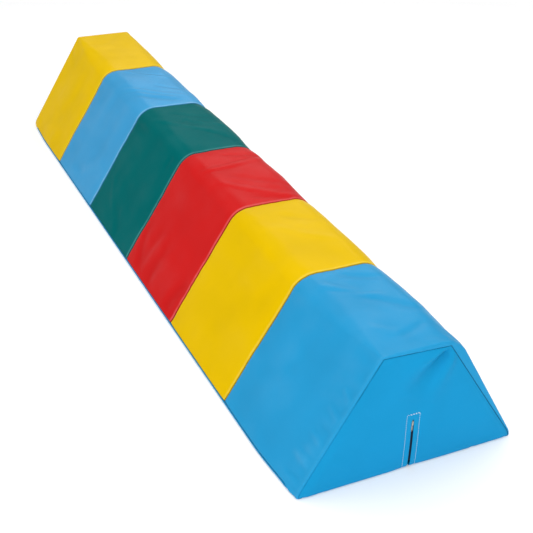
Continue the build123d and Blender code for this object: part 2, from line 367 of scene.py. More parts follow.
def quads(index):
    """Four-sided faces between neighbours in a grid of vertex numbers."""
    return np.stack([index[:-1, :-1], index[:-1, 1:], index[1:, 1:], index[1:, :-1]], axis=-1).reshape(-1, 4)


def tube_points(centre, first, second, sides, radius):
    """Rings of points round a line, with the two directions across it at each ring."""
    turn = np.linspace(0, 2 * math.pi, sides, endpoint=False)[:, None]
    return centre[:, None] + radius * (np.cos(turn) * first[:, None] + np.sin(turn) * second[:, None])


def tube_faces(rings, sides):
    """Faces of a closed tube of rings, with its two ends."""
    index = np.arange(rings * sides).reshape(rings, sides)
    index = np.concatenate([index, index[:, :1]], axis=1)
    return quads(index).tolist() + [index[0, :-1][::-1].tolist(), index[-1, :-1].tolist()]


def thicken(piece):
    """Gives a skin its thickness, inwards from the outer face."""
    solid = piece.modifiers.new("thickness", "SOLIDIFY")
    solid.thickness = SKIN * MM
    solid.offset = -1.0
    solid.use_even_offset = False


def set_attribute(piece, name, values):
    """Stores one number a vertex, for the materials to read."""
    layer = piece.data.attributes.new(name, "FLOAT", "POINT")
    layer.data.foreach_set("value", np.asarray(values, np.float32).ravel())


# ---- camera
CAMERA_PLACE = (-0.7273, -1.7493, 1.0459)
CAMERA_HEADING, CAMERA_PITCH, CAMERA_ROLL = 25.741, 30.163, 1.785
LENS, SENSOR = 70.85, 36.0


def build_camera():
    heading, pitch, roll = (math.radians(a) for a in (CAMERA_HEADING, CAMERA_PITCH, CAMERA_ROLL))
    ahead = math.cos(pitch)
    forward = Vector((ahead * math.sin(heading), ahead * math.cos(heading), -math.sin(pitch)))
    level = Vector((math.cos(heading), -math.sin(heading), 0.0))
    up = level.cross(forward)
    right = level * math.cos(roll) + up * math.sin(roll)
    up = right.cross(forward)
    data = bpy.data.cameras.new("camera")
    data.lens, data.sensor_width = LENS, SENSOR
    data.clip_end = 100.0
    camera = add_object("camera", data)
    turn = Matrix((right, up, -forward)).transposed().to_4x4()
    camera.matrix_world = Matrix.Translation(CAMERA_PLACE) @ turn
    bpy.context.scene.camera = camera


build_camera()


# ---- materials
VINYL_ROUGHNESS = (0.36, 0.47)
# Colour factor of the painted shade in seam grooves and creases.
PAINTED_SHADE_TONE = 0.40


def fill(tree, node, inputs):
    """Sets each input of a node to a value, or joins it to another node's output."""
    for name, value in inputs.items():
        if isinstance(value, bpy.types.NodeSocket):
            tree.links.new(value, node.inputs[name])
        else:
            node.inputs[name].default_value = value
    return node


def new_material(name):
    """A material, its nodes, and the place in space that its patterns follow."""
    material = bpy.data.materials.new(name)
    material.use_nodes = True
    tree = material.node_tree
    return material, tree, tree.nodes.new("ShaderNodeTexCoord").outputs["Object"]


def finish(material, inputs):
    """Sets or joins the inputs of a material's shader."""
    fill(material.node_tree, material.node_tree.nodes["Principled BSDF"], inputs)
    return material


def scaled(colour, factor, lift=0.0):
    return (*(min(1.0, c * factor + lift) for c in colour), 1)


def noise(tree, place, scale, detail=3.0, roughness=0.5):
    inputs = {"Vector": place, "Scale": scale, "Detail": detail, "Roughness": roughness}
    return fill(tree, tree.nodes.new("ShaderNodeTexNoise"), inputs).outputs["Fac"]


def ramp(tree, source, low, high, low_value, high_value):
    """Maps a grey value to a range."""
    inputs = {"Value": source, "From Min": low, "From Max": high, "To Min": low_value, "To Max": high_value}
    return fill(tree, tree.nodes.new("ShaderNodeMapRange"), inputs).outputs["Result"]


def mix(tree, factor, first, second):
    node = tree.nodes.new("ShaderNodeMix")
    node.data_type = "RGBA"
    return fill(tree, node, {"Factor": factor, "A": first, "B": second}).outputs["Result"]


def bump(tree, height, distance, strength, inputs=()):
    inputs = {"Height": height, "Distance": distance, "Strength": strength, **dict(inputs)}
    return fill(tree, tree.nodes.new("ShaderNodeBump"), inputs).outputs["Normal"]


def stored(tree, name):
    """A number that was stored on the mesh."""
    node = tree.nodes.new("ShaderNodeAttribute")
    node.attribute_name = name
    return node.outputs["Fac"]


def vinyl(name, colour, paler_colour, tint, gloss):
    """PVC-coated cloth: fine leather grain, faint cloudiness, paler edges, painted highlight on raised lips
    and folds, and painted shade in seams and creases.
    """
    material, tree, place = new_material(name)
    clouds = ramp(tree, noise(tree, place, 9.0, 4.0, 0.55), 0.35, 0.65, 0, 1)
    cloudy = mix(tree, clouds, scaled(colour, 0.97), scaled(colour, 1.02))
    # Mixes towards the paler colour by the stored mask: pale edges, and painted highlight on raised lips and
    # folds.
    pale_and_highlight = tree.nodes.new("ShaderNodeMath")
    pale_and_highlight.operation = "MULTIPLY"
    patchy = ramp(tree, noise(tree, place, 60.0, 5.0, 0.6), 0.3, 0.7, 0.4, 1.0)
    fill(tree, pale_and_highlight, {0: stored(tree, "pale_edge_and_highlight"), 1: patchy})
    paled = mix(tree, pale_and_highlight.outputs["Value"], cloudy, (*paler_colour, 1))
    grain = tree.nodes.new("ShaderNodeTexVoronoi")
    grain.feature = "SMOOTH_F1"
    fill(tree, grain, {"Scale": 900.0, "Vector": place})
    fine = bump(tree, grain.outputs["Distance"], 0.0002, 0.25)
    # The base colour darkens by the stored mask of painted shade in seams and creases.
    return finish(material, {
        "Base Color": mix(tree, stored(tree, "painted_shade"), paled, scaled(colour, PAINTED_SHADE_TONE)),
        "Roughness": ramp(tree, noise(tree, place, 22.0), 0.3, 0.7, *VINYL_ROUGHNESS),
        "Specular IOR Level": gloss,
        "Specular Tint": (*tint, 1),
        "Normal": bump(tree, noise(tree, place, 55.0, 2.0), 0.0006, 0.35, {"Normal": fine}),
    })


def woven(name, colour, pitch):
    """Woven tape or thread."""
    material, tree, place = new_material(name)
    waves = tree.nodes.new("ShaderNodeTexWave")
    waves.bands_direction = "DIAGONAL"
    fill(tree, waves, {"Scale": 1 / (pitch * MM * 2 * math.pi), "Distortion": 1.5, "Vector": place})
    tone = mix(tree, noise(tree, place, 700.0, 2.0), scaled(colour, 0.8), scaled(colour, 1.15, 0.004))
    weave = bump(tree, waves.outputs["Fac"], 0.0003, 0.6)
    return finish(material, {"Base Color": tone, "Roughness": 0.85, "Sheen Weight": 0.2, "Normal": weave})


def metal(name, colour, roughness_low, roughness_high):
    """Die-cast metal with fine scratches."""
    material, tree, place = new_material(name)
    scratches = noise(tree, place, 1600.0, 4.0, 0.6)
    return finish(material, {
        "Base Color": mix(tree, scratches, scaled(colour, 0.8), (*colour, 1)),
        "Metallic": 1.0,
        "Roughness": ramp(tree, scratches, 0.3, 0.7, roughness_low, roughness_high),
        "Normal": bump(tree, scratches, 0.0001, 0.3),
    })


def nylon(name, colour):
    material, tree, place = new_material(name)
    tone = mix(tree, noise(tree, place, 300.0, 2.0), scaled(colour, 0.7), scaled(colour, 1.3))
    return finish(material, {"Base Color": tone, "Roughness": 0.4})


def foam(name, dark, pale):
    """Open-cell foam."""
    material, tree, place = new_material(name)
    cells = fill(tree, tree.nodes.new("ShaderNodeTexVoronoi"), {"Scale": 700.0, "Vector": place})
    depth = cells.outputs["Distance"]
    tone = mix(tree, depth, (*dark, 1), (*pale, 1))
    return finish(material, {"Base Color": tone, "Roughness": 0.95, "Normal": bump(tree, depth, 0.0008, 0.7)})


# Colour, paler colour for pale edges and painted highlight, tint of the gloss, and gloss. The far band's blue
# is a paler copy for painted sheen, the panel's blue a darker copy for painted shade.
COLOURS = {
    "blue": ((0.018, 0.303, 0.595), (0.25, 0.55, 0.80), (0.10, 0.62, 1.0), 0.07),
    "panel_blue_shaded_copy": ((0.010, 0.290, 0.580), (0.25, 0.55, 0.80), (0.10, 0.62, 1.0), 0.03),
    "far_blue_sheen_copy": ((0.042, 0.318, 0.615), (0.28, 0.55, 0.78), (0.30, 0.70, 1.0), 0.07),
    "yellow": ((0.760, 0.490, 0.000), (0.83, 0.60, 0.08), (1.0, 0.80, 0.10), 0.02),
    "red": ((0.590, 0.012, 0.012), (0.72, 0.16, 0.16), (1.0, 0.30, 0.30), 0.025),
    "green": ((0.000, 0.127, 0.129), (0.10, 0.30, 0.30), (0.0, 0.80, 0.80), 0.01),
}
VINYLS = {name: vinyl(f"vinyl_{name}", *colours) for name, colours in COLOURS.items()}
THREAD_WHITE = woven("thread_white", (0.80, 0.86, 0.92), 0.35)
THREAD_DARK = woven("thread_dark", (0.02, 0.10, 0.20), 0.35)
TAPE = woven("zip_tape_weave", (0.020, 0.035, 0.10), 0.5)
COIL = nylon("zip_coil_nylon", (0.012, 0.020, 0.060))
SLIDER_METAL = metal("zip_slider_metal", (0.80, 0.74, 0.62), 0.25, 0.45)
PULL_METAL = metal("zip_pull_metal", (0.42, 0.38, 0.34), 0.3, 0.5)
FOAM = foam("foam_cells", (0.62, 0.58, 0.48), (0.9, 0.87, 0.78))


# ---- bands
ROW_STEP = 3.6
SEAM_DIPS = (1.5, 1.9)
SEAM_DIP_REACH = 12
LIP_RIDGE, LIP_RIDGE_PLACE, LIP_RIDGE_WIDTH = 0.5, 3.5, 3.0
# Width of the painted shade line along seams.
SEAM_SHADE_WIDTH = 0.8
# Paler colour along seams and on the corners of the top; painted highlight on a band's raised lip and on
# raised folds.
EDGE_PALE, LIP_HIGHLIGHT, CORNER_PALE, FOLD_HIGHLIGHT = 0.06, 0.8, 0.04, 0.045
# Painted shade in the creases of folds.
FOLD_SHADE = 0.055


def band_stations(start, end, start_is_seam, end_is_seam):
    """Rows across a band: (y, depth, distance to the near seam, distance to the far seam)."""
    rows = []
    first = start + SEAM_GAP / 2 + SEAM_ROLL if start_is_seam else start
    last = end - SEAM_GAP / 2 - SEAM_ROLL if end_is_seam else end
    if start_is_seam:
        rows += [(start + SEAM_GAP / 2 + distance, depth) for distance, depth in SEAM_EDGE[:-1]]
    count = int(round((last - first) / ROW_STEP))
    ease = np.linspace(-1, 1, count + 1)
    spread = (0.86 * ease + 0.14 * ease**3 + 1) / 2
    rows += [(first + (last - first) * s, 0.0) for s in spread]
    if end_is_seam:
        rows += [(end - SEAM_GAP / 2 - distance, depth) for distance, depth in SEAM_EDGE[-2::-1]]
    return rows


def seam_relief(girth, y, start, end, start_is_seam, end_is_seam):
    """How the cloth dips towards its seams, with a raised lip on the side of each band's start."""
    relief = np.zeros_like(girth)
    if start_is_seam:
        distance = max(0.0, y - start)
        relief += -SEAM_DIPS[0] * math.exp(-distance / SEAM_DIP_REACH) + seam_pucker(girth, distance, start)
        relief += LIP_RIDGE * bell(distance - LIP_RIDGE_PLACE, LIP_RIDGE_WIDTH)
    if end_is_seam:
        distance = max(0.0, end - y)
        relief += -SEAM_DIPS[1] * math.exp(-distance / SEAM_DIP_REACH) + seam_pucker(girth, distance, end)
    return relief


def surface_row(y, depth, span):
    """One row of cloth across a band, as points, with its girth and how far its folds stand proud."""
    points, normals, girth = section(form_at(y), foot_height(y))
    relief = cloth_relief(girth, np.full_like(girth, y))
    end_distance = end_distance_at(y)
    from_foot = np.abs(girth).max() - np.abs(girth)
    relief *= float(smooth_step((end_distance + 6) / 30))
    relief *= smooth_step(from_foot / 14)
    relief += end_pucker(girth, end_distance, span[0]) * smooth_step(from_foot / 20)
    folds = relief.copy()
    relief += seam_relief(girth, y, *span)
    moved = points + normals * (relief - depth)[:, None]
    at_end = float(smooth_step(1 - end_distance / 30))
    moved[:, 0] -= np.sign(moved[:, 0]) * foot_tuck(moved[:, 1]) * at_end
    return at_y(moved, y), girth, folds


def end_cap_rows(edge_row, seam_form, end_y, into):
    """Rows that carry a band over the end's edge and down to the seam round the end panel."""
    seam_points, _, _ = section(seam_form, END_FOOT)
    seam_points[:, 0] -= np.sign(seam_points[:, 0]) * foot_tuck(seam_points[:, 1])
    outer = edge_row[:, [0, 2]]
    inset = seam_points - outer
    width = np.maximum(np.linalg.norm(inset, axis=1), 1e-6)
    direction = inset / width[:, None]
    roll = np.minimum(END_ROLL, 0.75 * width)
    seam_roll = np.minimum(END_SEAM_ROLL, 0.25 * width)
    rows = []
    for k in range(1, 6):
        turn = math.pi / 2 * k / 5
        place = outer + direction * (roll * (1 - math.cos(turn)))[:, None]
        rows.append((place, roll * (1 - math.sin(turn))))
    flat_end = width - seam_roll
    for t in (0.34, 0.67, 1.0):
        rows.append((outer + direction * (roll + (flat_end - roll) * t)[:, None], np.zeros(len(width))))
    for k in range(1, 4):
        turn = math.pi / 2 * k / 3
        place = outer + direction * (flat_end + seam_roll * math.sin(turn))[:, None]
        rows.append((place, seam_roll * (1 - math.cos(turn))))
    for extra in (2.0, 4.0):
        rows.append((outer + direction * width[:, None], seam_roll + extra))
    return [at_y(place, end_y + into * depth) for place, depth in rows], roll


def seam_shade(across, height):
    """Darkness of the painted shade line round an end: dark at the right and at the corners, faint low on the
    left.
    """
    left = 0.25 + 0.75 * smooth_step((height - 125) / 45)
    patches = 0.75 + 0.25 * np.sin(height / 13.0 + across / 9.0)
    return np.where(across < -20, left, 1.0) * patches


def cap_painted_shade(cap):
    """Painted shade on an end's wrapped-over rows, by how close each point is to the seam round the panel."""
    last = cap[-1][:, [0, 2]]
    away = np.array([np.linalg.norm(row[:, [0, 2]] - last, axis=1) for row in cap])
    return bell(away, SEAM_SHADE_WIDTH) * seam_shade(last[:, 0], last[:, 1])


def pull_to_edge(rows, roll, end_y, into, reach=20.0):
    """Slides the last rows back so that the band starts to turn where its end's rounding begins."""
    for row in rows:
        distance = np.abs(row[:, 1] - end_y)
        row[:, 1] += into * roll * np.clip(1 - distance / reach, 0, 1)


def build_band(index):
    """One coloured band of the cover, with the wrapped-over edge of an end where it has one."""
    node = BAND_NODES[index]
    start, end = EDGES[index], EDGES[index + 1]
    start_is_seam, end_is_seam = index > 0, index < len(BAND_NODES) - 1
    span = start, end, start_is_seam, end_is_seam
    surface = [surface_row(y, depth, span) for y, depth in band_stations(*span)]
    rows, girths, folds = (list(part) for part in zip(*surface))
    at_end = not (start_is_seam and end_is_seam)
    if at_end:
        seam_form, place, into = (FAR_SEAM, FAR, -1) if start_is_seam else (NEAR_SEAM, NEAR, 1)
        cap, roll = end_cap_rows(rows[::into][0], seam_form, place, into)
        pull_to_edge(rows, roll, place, into)
        rows = (cap[::-1] + rows[::into])[::into]
        girths, folds = (([part[::into][0]] * len(cap) + part[::into])[::into] for part in (girths, folds))
    grid = np.array(rows)
    colour = node.split("_")[2]
    # The far blue band takes a paler copy of the blue: painted sheen.
    shade = "far_blue_sheen_copy" if colour == "blue" and start_is_seam else colour
    points = grid.reshape(-1, 3)
    faces = quads(np.arange(len(points)).reshape(grid.shape[:2]))
    piece = add_mesh(f"cover_{node}", points, faces, VINYLS[shade])
    y = grid[:, :, 1]
    edge = np.minimum(np.abs(y - start), np.abs(y - end))
    corner = bell(np.abs(np.array(girths)) - TOP_HALF, 9)
    lip = bell(np.abs(y - start) - 2.2, 0.9) if start_is_seam else 0 * y
    folds = np.array(folds)
    # Paler along seams and on the top's corners; painted highlight on the lip at a band's start and on raised
    # folds.
    pale_edge_and_highlight = EDGE_PALE * bell(edge - 2.5, 2.2) + LIP_HIGHLIGHT * lip + CORNER_PALE * corner
    set_attribute(piece, "pale_edge_and_highlight", pale_edge_and_highlight + FOLD_HIGHLIGHT * np.clip(folds, 0, 2.5))
    # Painted shade: darker colour in the seam grooves and in the creases of folds.
    seam_painted_shade = bell(edge, 1.0)
    if at_end:
        seam_painted_shade = bell(y - start if start_is_seam else end - y, 1.0)
        seam_painted_shade[::into][: len(cap)] = cap_painted_shade(cap)[::-1]
    set_attribute(piece, "painted_shade", np.clip(seam_painted_shade + FOLD_SHADE * np.clip(-folds, 0, 2.5), 0, 1))
    thicken(piece)
    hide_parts(node)


for band_index in range(len(BAND_NODES)):
    build_band(band_index)

# ---- foam core
CORE_INSET = 3.0
CORE_SEAM_INSET = 4.5
CORE_END_INSET = (13.0, 3.5)
CORE_CHANNEL_HALF, CORE_CHANNEL_DEPTH = 18.0, 8.0
CORE_STEP = 9.0
CORE_MIDDLE = np.array([0.0, 95.0])


def core_row(y, shrink=1.0):
    """One closed loop round the foam: the pressed-in flanks and top, then the underside."""
    points, normals, _ = section(form_at(y), 1.0)
    points, normals = points[BETWEEN_FEET][::2], normals[BETWEEN_FEET][::2]
    inset = CORE_INSET + CORE_SEAM_INSET * bell(seam_distance(y), 9)
    over = points - normals * inset
    over[:, 1] = np.maximum(over[:, 1], CORE_INSET)
    half = over[-1, 0] - 2
    edge = CORE_CHANNEL_HALF
    under_x = [np.linspace(half, edge + 1, 8), np.linspace(edge, -edge, 7), np.linspace(-edge - 1, -half, 8)]
    under_x = np.concatenate(under_x)
    under_z = np.where(np.abs(under_x) <= edge, CORE_CHANNEL_DEPTH, CORE_INSET)
    loop = np.concatenate([over, np.column_stack([under_x, under_z])])
    loop = CORE_MIDDLE + (loop - CORE_MIDDLE) * shrink
    return at_y(loop, y)


def build_core():
    first, last = NEAR + CORE_END_INSET[0], FAR - CORE_END_INSET[1]
    stations = np.linspace(first, last, int((last - first) / CORE_STEP) + 1)
    shrinks = (0.02, 0.3, 0.6, 0.85, 0.985)
    rows = [core_row(first, shrink) for shrink in shrinks]
    rows += [core_row(y) for y in stations]
    rows += [core_row(last, shrink) for shrink in shrinks[::-1]]
    rows[len(shrinks) - 1][:, 1] -= 0.5
    rows[len(rows) - len(shrinks)][:, 1] += 0.5
    grid = np.array(rows)
    core = add_mesh("foam_block", grid.reshape(-1, 3), tube_faces(*grid.shape[:2]), FOAM)
    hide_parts("foam_core")


build_core()

# ---- base and end panels
SLIT_HALF = 2.2
SLIT_TOP = COIL_HIGH[2] + 1.5
SLIT_FAR = COIL_HIGH[1]
SLIT_CLOSING = 5.0
ZIP_HOLLOW = 0.9
ZIP_HOLLOW_REACH = (18.0, 22.0)
STITCH_X = STITCH_HIGH[0] - 0.3
STITCH_TOP = STITCH_HIGH[2] - 0.3
STITCH_FAR = STITCH_HIGH[1] - 0.3
ZIP_COLUMNS = (2.2, 2.5, 3.1, 4.0, 5.0, 6.2, 7.6, 9.0, 9.9, 10.5, 11.0, 11.5, 12.1, 13.0, 14.6, 17.5, 22.0)
UNDER_LIP = ((2.12, 0.45), (2.2, 0.95), (2.6, 1.45), (3.6, 1.7), (7.0, 1.75))
OUTER_COLUMNS = 26
END_STATIONS = np.array([0, 2, 4, 7, 10, 13, 16, 19, 22, 26, 31, 38])
BASE_EDGE_ROUND = 2.0
BASE_EDGE_FLAT = 3.9
BASE_EDGE_RISE = 0.6
BASE_EDGE_TURN = math.radians(121.6)
BASE_EDGE_RUN = (0.524, 0.852)
PANEL_STEP = 3.3
FOLD_POWER = 0.2
ZIP_FOLD_POWER = 0.4
FOLD_ROUND_REACH = 16.0
FOOT_BULGE = 2.4
PANEL_BULGE = 1.3
STITCH_DIP, STITCH_DIP_WIDTH = 0.5, 0.9


UPRIGHT = ("near", "far")


def seam_at(zone):
    return NEAR_SEAM if zone.startswith("near") else FAR_SEAM


def strip_place(zone, value, across, depth):
    """Point of the blue strip: zone near/far holds heights, base holds y, and the folds hold angles."""
    across, depth = np.broadcast_arrays(np.asarray(across, float), np.asarray(depth, float))
    if zone in UPRIGHT:
        end, into = (NEAR, 1) if zone == "near" else (FAR, -1)
        height = np.broadcast_to(value, across.shape)
        return np.stack([across, end + into * depth, height], axis=-1)
    if zone in ("near_fold", "far_fold"):
        end, into = (NEAR, 1) if zone == "near_fold" else (FAR, -1)
        power = FOLD_POWER + (ZIP_FOLD_POWER - FOLD_POWER) * bell(across, FOLD_ROUND_REACH)
        radius = FOLD - depth
        y = end + into * (FOLD - radius * math.cos(value) ** power)
        z = FOLD - np.minimum(radius, FOLD) * math.sin(value) ** power
        return np.stack([across, y, z], axis=-1)
    base_half = form_at(value)["base"][0]
    flat = base_half - BASE_EDGE_FLAT
    turned = np.clip((np.abs(across) - flat) / BASE_EDGE_ROUND, 0, BASE_EDGE_TURN)
    beyond = np.clip(np.abs(across) - flat - BASE_EDGE_ROUND * BASE_EDGE_TURN, 0, None)
    radius = BASE_EDGE_ROUND - depth
    x = np.minimum(np.abs(across), flat) + radius * np.sin(turned) - BASE_EDGE_RUN[0] * beyond
    z = BASE_EDGE_ROUND - radius * np.cos(turned) + BASE_EDGE_RUN[1] * beyond
    return np.stack([np.sign(across) * x, np.full(across.shape, float(value)), z], axis=-1)


def slant(height):
    """How much of the top edge's slope a row of an end panel takes: none at its foot, all at its top."""
    return float(smooth_step((height - 115) / 90))


def strip_edges(zone, value):
    """Left and right edge of the strip, measured across it."""
    if zone == "base":
        lip = lip_share(value)
        full = form_at(value)["base"][0] - BASE_EDGE_FLAT + BASE_EDGE_ROUND * BASE_EDGE_TURN + BASE_EDGE_RISE
        seam = NEAR_SEAM if value < 0 else FAR_SEAM
        return tuple(b - FOOT_TUCK + (full - b + FOOT_TUCK) * lip for b in seam["base"])
    seam = seam_at(zone)
    edges = []
    for base, top, height in zip(seam["base"], seam["top"], seam["height"]):
        lowered = value - (max(seam["height"]) - height) * slant(value) if zone in UPRIGHT else 0.0
        edges.append(base - (base - top) * lowered / height - float(foot_tuck(lowered)))
    return tuple(edges)


def strip_rows():
    """(zone, value, depth at the edge) of each row, from the near end's top to the far end's top."""
    near_top, far_top = max(NEAR_SEAM["height"]), max(FAR_SEAM["height"])
    fine = [STITCH_TOP + step for step in (2.2, 1.4, 0.8, 0.4, 0, -0.4, -0.8, -1.4, -2.2)]
    fine += [SLIT_TOP - step for step in (0.0, 0.6, 1.4, 2.6, 4.2, 6.2)]
    coarse = np.linspace(near_top - END_SEAM_ROLL, FOLD, int((near_top - FOLD) / PANEL_STEP) + 1)
    heights = sorted(fine + [h for h in coarse if min(abs(h - f) for f in fine) > 1.2], reverse=True)
    rows = [("near", near_top - distance, depth) for distance, depth in END_EDGE[:-1]]
    rows += [("near", h, 0.0) for h in heights]
    rows += [("near_fold", math.pi / 2 * k / 8, 0.0) for k in range(1, 8)]
    first, last = NEAR + FOLD, FAR - FOLD
    near_part = first + END_STATIONS
    far_part = last - END_STATIONS[::-1]
    slit_part = [STITCH_FAR + d for d in (-2.0, -0.8, 0, 0.8, 2.0)]
    slit_part += [SLIT_FAR - d for d in (0, 1, 2.5, 5, 9)]
    middle = np.linspace(near_part[-1] + 9, far_part[0] - 9, 150)
    middle = [y for y in middle if min(abs(y - s) for s in slit_part) > 4]
    stations = sorted([*near_part, *middle, *slit_part, *far_part])
    rows += [("base", y, 0.0) for y in stations]
    rows += [("far_fold", math.pi / 2 * k / 8, 0.0) for k in range(7, 0, -1)]
    far_heights = np.linspace(FOLD, far_top - END_SEAM_ROLL, int((far_top - FOLD) / 5) + 1)
    rows += [("far", h, 0.0) for h in far_heights]
    rows += [("far", far_top - distance, depth) for distance, depth in END_EDGE[-2::-1]]
    return rows


def in_slit(zone, value):
    """Whether a row of the strip crosses the zip's slit."""
    if zone == "near":
        return value <= SLIT_TOP
    return zone == "near_fold" or (zone == "base" and value <= SLIT_FAR)


def slit_half(zone, value):
    """Half-width of the zip's slit: it closes to a point at both ends."""
    left = SLIT_TOP - value if zone == "near" else SLIT_FAR - value if zone == "base" else SLIT_CLOSING
    return 0.15 + (SLIT_HALF - 0.15) * math.sqrt(min(1.0, max(0.0, left / SLIT_CLOSING)))


# Painted shade in the near end panel's creases.
PANEL_FOLD_SHADE = 0.03
PANEL_FOLDS = [
    ((53, 206), (-14, 140), -7.0, 11.0),
    ((42, 214), (-26, 172), 4.0, 12.0),
    ((58, 194), (20, 116), 5.0, 14.0),
    ((38, 186), (-6, 100), -2.5, 15.0),
    ((-45, 206), (-20, 150), 1.0, 14.0),
    ((-120, 60), (-60, 30), -0.5, 18.0),
    ((60, 60), (130, 40), 0.5, 20.0),
    ((-20, 130), (30, 120), -0.4, 14.0),
    ((115, -6), (117, 9), -1.6, 4.0),
    ((-150, -4), (-140, 20), -0.8, 7.0),
]


def panel_fold_relief(zone, value, across, inside):
    """Height of the creases and folds of the near end panel."""
    relief = np.zeros_like(across)
    height = value if zone == "near" else 0.0
    if not zone.startswith("near"):
        return relief
    for start, end, size, width in PANEL_FOLDS:
        along, off, _ = along_fold(start, end, across, height)
        fade = np.clip(1 - along, 0, 1) ** 0.6 * (along > -0.15)
        spread = width * (0.45 + np.clip(along, 0, 1))
        relief += size * fade * bell(off, spread) * inside
    return relief


def panel_inside(zone, value, across):
    """Nought at the seam round an end panel, one away from it."""
    height = value if zone in UPRIGHT else 0.0
    left, right = strip_edges(zone, value)
    inside = np.clip(np.minimum(across + left, right - across) / 14, 0, 1)
    return inside * min(1.0, max(0.0, (max(NEAR_SEAM["height"]) - height) / 10))


def panel_relief(zone, value, across):
    """Outward height of an end panel's cloth: a slight bulge, its folds, and puckers round the zip."""
    if zone == "base":
        return np.zeros_like(across)
    height = value if zone in UPRIGHT else 0.0
    fading = 1.0 if zone in UPRIGHT else math.cos(value)
    inside = panel_inside(zone, value, across)
    relief = PANEL_BULGE * math.sin(math.pi * min(1.0, height / END_HEIGHT)) * inside
    foot = bell(height, 70) * (1 - 0.25 * bell(across, 30))
    relief += FOOT_BULGE * foot * inside
    for wave_x, wave_z, phase, size in RIPPLE_TERMS[:12]:
        relief += 0.5 * size * inside * np.sin(wave_x * across + wave_z * height + phase + 2.0)
    relief += panel_fold_relief(zone, value, across, inside)
    if zone.startswith("near"):
        beside = np.abs(across)
        hollow = bell(height - SLIT_TOP, ZIP_HOLLOW_REACH[1]) * bell(across, ZIP_HOLLOW_REACH[0])
        relief = relief * (1 - ZIP_HOLLOW * hollow)
        if in_slit(zone, value):
            relief += 0.7 * bell(beside - 4.6, 2.4)
        if height <= STITCH_TOP + 2:
            relief -= STITCH_DIP * bell(beside - STITCH_X, STITCH_DIP_WIDTH)
            relief += 0.16 * np.sin(height / 1.9) * bell(beside - STITCH_X, 4)
        if height > STITCH_TOP - 4:
            dip = STITCH_DIP * bell(height - STITCH_TOP, STITCH_DIP_WIDTH)
            relief -= dip * (beside <= STITCH_X + 0.8)
    return relief * fading


def slanted(zone, value, across):
    """Heights of a row of an end panel: its top edge slopes a little from left to right."""
    if zone not in UPRIGHT:
        return value
    left, right = strip_edges(zone, value)
    share = np.clip((across + left) / (left + right), 0, 1)
    left_height, right_height = seam_at(zone)["height"]
    highest = max(left_height, right_height)
    drop = (highest - left_height) * (1 - share) + (highest - right_height) * share
    return value - drop * slant(value)


def strip_row(zone, value, edge_depth):
    left, right = strip_edges(zone, value)
    opening = slit_half(zone, value) if in_slit(zone, value) else 0.15
    columns, depths = [], []
    for edge, sign in ((left, -1), (right, 1)):
        outer = [(edge - distance, depth) for distance, depth in END_EDGE]
        spread = np.linspace(edge - END_EDGE[-1][0], ZIP_COLUMNS[-1], OUTER_COLUMNS + 1)[1:-1]
        outer += [(x, 0.0) for x in spread]
        near_slit = [(x, 0.0) for x in ZIP_COLUMNS[::-1]] + list(UNDER_LIP)
        closed = SLIT_HALF - opening
        half = outer + [(x - closed * math.exp(-(x - SLIT_HALF) / 4), d) for x, d in near_slit]
        ordered = half if sign < 0 else half[::-1]
        columns += [sign * x for x, _ in ordered]
        depths += [d for _, d in ordered]
    across, depth = np.array(columns), np.array(depths)
    relief = panel_relief(zone, value, across)
    return strip_place(zone, slanted(zone, value, across), across, depth + edge_depth - relief)


def strip_painted_shade(rows, grid):
    """Painted shade on the strip: by how close each point is to the seam round an end panel, and in the end
    panel's creases.
    """
    shade = np.zeros(grid.shape[:2])
    for i, (zone, value, _) in enumerate(rows):
        if zone == "base":
            continue
        left, right = strip_edges(zone, value)
        seam = seam_at(zone)
        across = grid[i, :, 0]
        beside = np.minimum(across + left, right - across) / 1.18
        from_top = np.full_like(across, 1e3)
        if zone in UPRIGHT:
            from_top = slanted(zone, max(seam["height"]), across) - grid[i, :, 2]
        away = np.clip(np.minimum(beside, from_top), 0, None)
        folds = panel_fold_relief(zone, value, across, panel_inside(zone, value, across))
        seam_shade_line = bell(away, SEAM_SHADE_WIDTH) * seam_shade(across, grid[i, :, 2])
        shade[i] = PANEL_FOLD_SHADE * np.clip(-folds, 0, 6) + seam_shade_line
    return shade


def build_panels():
    """The blue strip: near end panel, base with the zip's slit, and far end panel."""
    rows = strip_rows()
    grid = np.array([strip_row(*row) for row in rows])
    count, width = grid.shape[:2]
    half = width // 2
    under = len(UNDER_LIP)
    faces = []
    for i in range(count - 1):
        open_here = in_slit(*rows[i][:2]) and in_slit(*rows[i + 1][:2])
        spans = [(j, j + 1) for j in range(width - 1) if j != half - 1]
        if not open_here:
            spans = [(a, b) for a, b in spans if b < half - under or a >= half + under]
            spans.append((half - under - 1, half + under))
        faces += [(i * width + a, (i + 1) * width + a, (i + 1) * width + b, i * width + b) for a, b in spans]
    used = np.unique(np.array(faces))
    renumber = np.full(count * width, -1)
    renumber[used] = np.arange(len(used))
    faces = renumber[np.array(faces)]
    points = grid.reshape(-1, 3)[used]
    # The panels take a darker, more saturated copy of the blue: painted shade.
    piece = add_mesh("base_and_end_panels_cloth", points, faces, VINYLS["panel_blue_shaded_copy"])
    set_attribute(piece, "pale_edge_and_highlight", np.zeros(len(used)))
    set_attribute(piece, "painted_shade", strip_painted_shade(rows, grid).reshape(-1)[used])
    thicken(piece)
    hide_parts("base_and_end_panels")


build_panels()


# ---- stitches
STITCH_SIDES, STITCH_RINGS = 6, 5
STITCH_ARCH = np.array([-0.55, 0.1, 0.35, 0.1, -0.55]) / 0.35
STITCH_SWELL = np.array([0.55, 0.95, 1.0, 0.95, 0.55])
BASE_STITCH_DEPTH = 0.5
SEAM_THREAD_DEPTH = 1.7 + SEAM_ROLL * 0.75
END_THREAD_DEPTH = 1.3
# Length, gap and radius of the stitches.
ZIP_STITCH = (3.4, 0.6, 0.32)
SEAM_STITCH = (3.5, 0.9, 0.3)


